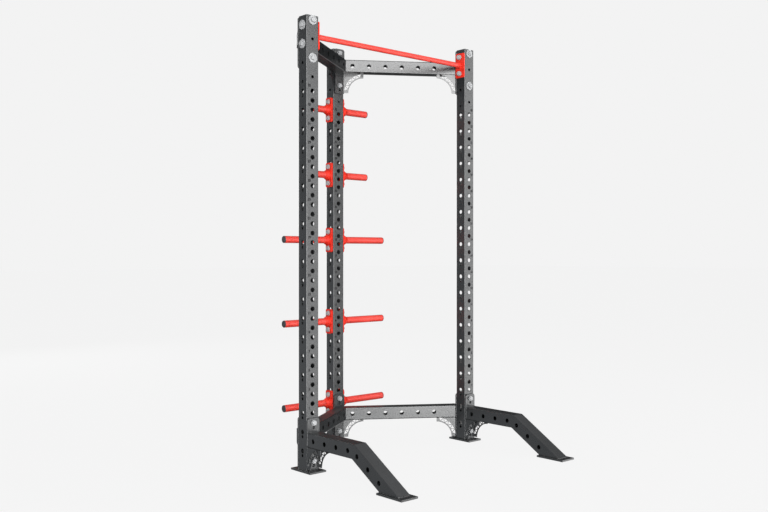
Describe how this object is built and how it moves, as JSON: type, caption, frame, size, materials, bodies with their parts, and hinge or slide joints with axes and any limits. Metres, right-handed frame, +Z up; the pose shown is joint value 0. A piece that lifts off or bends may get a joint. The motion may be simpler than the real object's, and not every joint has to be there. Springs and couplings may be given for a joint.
{
  "type": "half rack",
  "caption": "Free-standing steel lifting rack with two front uprights, one rear upright, two V-shaped crossmembers, splayed-down front feet, a pull-up bar and storage pegs for weight plates.",
  "frame": {"origin": "bottom centre of the whole object's box, on the floor", "axes": "+Z up, -Y towards the lifter's open side where the feet reach out, +Y towards the rear upright, +X towards the right front upright seen from the open side"},
  "size_m": [1.248, 1.4874, 2.41],
  "materials": {
    "black_coat": "semi-gloss charcoal powder coat",
    "red_coat": "semi-gloss red powder coat",
    "zinc": "bright zinc plate",
    "cap_plastic": "matte moulded"
  },
  "bodies": {
    "root": {"base_plate_left": "black_coat", "base_plate_rear": "black_coat", "base_plate_right": "black_coat", "bottom_arm_left": "black_coat", "bottom_arm_right": "black_coat", "bottom_flange_left": "black_coat", "bottom_flange_rear": "black_coat", "bottom_flange_right": "black_coat", "bottom_gussets": "black_coat", "foot_beam_left": "black_coat", "foot_beam_right": "black_coat", "foot_bolts": "zinc", "foot_flange_left": "black_coat", "foot_flange_right": "black_coat", "foot_gussets_left": "black_coat", "foot_gussets_right": "black_coat", "foot_leg_left": "black_coat", "foot_leg_right": "black_coat", "foot_pad_left": "black_coat", "foot_pad_right": "black_coat", "large_washers": "zinc", "nuts": "zinc", "peg_1_left": "red_coat", "peg_1_right": "red_coat", "peg_2_left": "red_coat", "peg_2_right": "red_coat", "peg_3_left": "red_coat", "peg_3_right": "red_coat", "peg_4_left": "red_coat", "peg_4_right": "red_coat", "peg_5_left": "red_coat", "peg_5_right": "red_coat", "peg_bolts": "zinc", "peg_caps_left": "cap_plastic", "peg_caps_right": "cap_plastic", "peg_collars_left": "red_coat", "peg_collars_right": "red_coat", "peg_plates_left": "red_coat", "peg_plates_right": "red_coat", "pullup_bar": "red_coat", "pullup_bolts": "zinc", "pullup_plate_left": "red_coat", "pullup_plate_right": "red_coat", "rear_bolts": "zinc", "top_arm_left": "black_coat", "top_arm_right": "black_coat", "top_cap_left": "cap_plastic", "top_cap_rear": "cap_plastic", "top_cap_right": "cap_plastic", "top_flange_left": "black_coat", "top_flange_rear": "black_coat", "top_flange_right": "black_coat", "top_front_bolts": "zinc", "top_gussets": "black_coat", "upright_left": "black_coat", "upright_rear": "black_coat", "upright_right": "black_coat", "washers": "zinc"}
  },
  "joints": []
}
